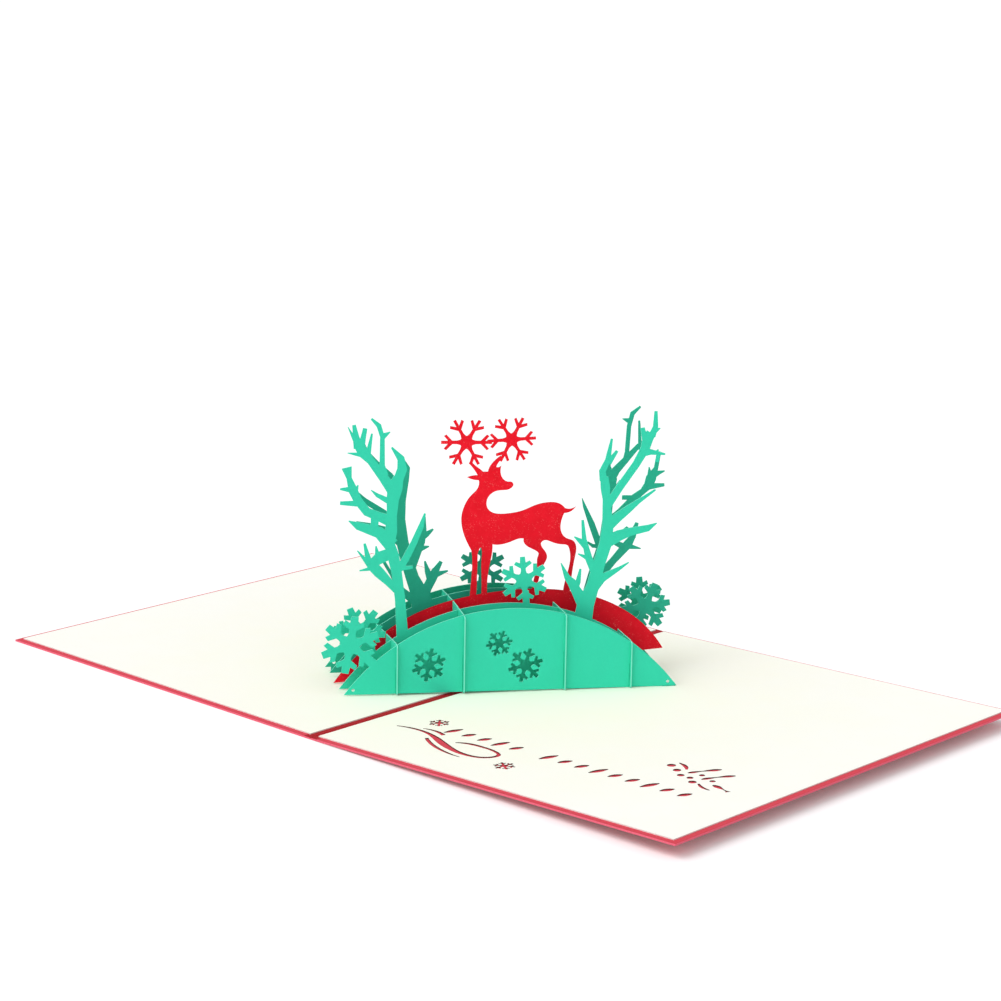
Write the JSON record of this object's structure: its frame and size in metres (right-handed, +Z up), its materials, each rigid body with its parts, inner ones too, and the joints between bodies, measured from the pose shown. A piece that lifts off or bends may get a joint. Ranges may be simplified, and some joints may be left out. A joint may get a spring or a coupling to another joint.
{
  "type": "pop up card",
  "caption": "Folded greeting card, open flat, with a paper lattice pop-up of a deer and trees on a hill that stands up across its fold.",
  "frame": {"origin": "centre of the open card's outline, on the surface it lies on", "axes": "+X across the open card from the left panel to the right one, +Y along the fold away from the reader, +Z up"},
  "size_m": [0.25, 0.15, 0.0805],
  "materials": {
    "cover_card": "matt red card with a fine grain",
    "liner_paper": "smooth ivory paper",
    "green_paper": "green paper with a soft sheen",
    "red_paper": "red glitter paper"
  },
  "bodies": {
    "root": {"cover": "cover_card", "liner_left": "liner_paper", "liner_right": "liner_paper", "hill_front": "green_paper", "trees_front": "green_paper", "deer": "red_paper", "trees_back": "green_paper", "hill_back": "green_paper", "rib_1": "green_paper", "rib_2": "green_paper", "rib_3": "green_paper", "rib_4": "green_paper"}
  },
  "joints": []
}
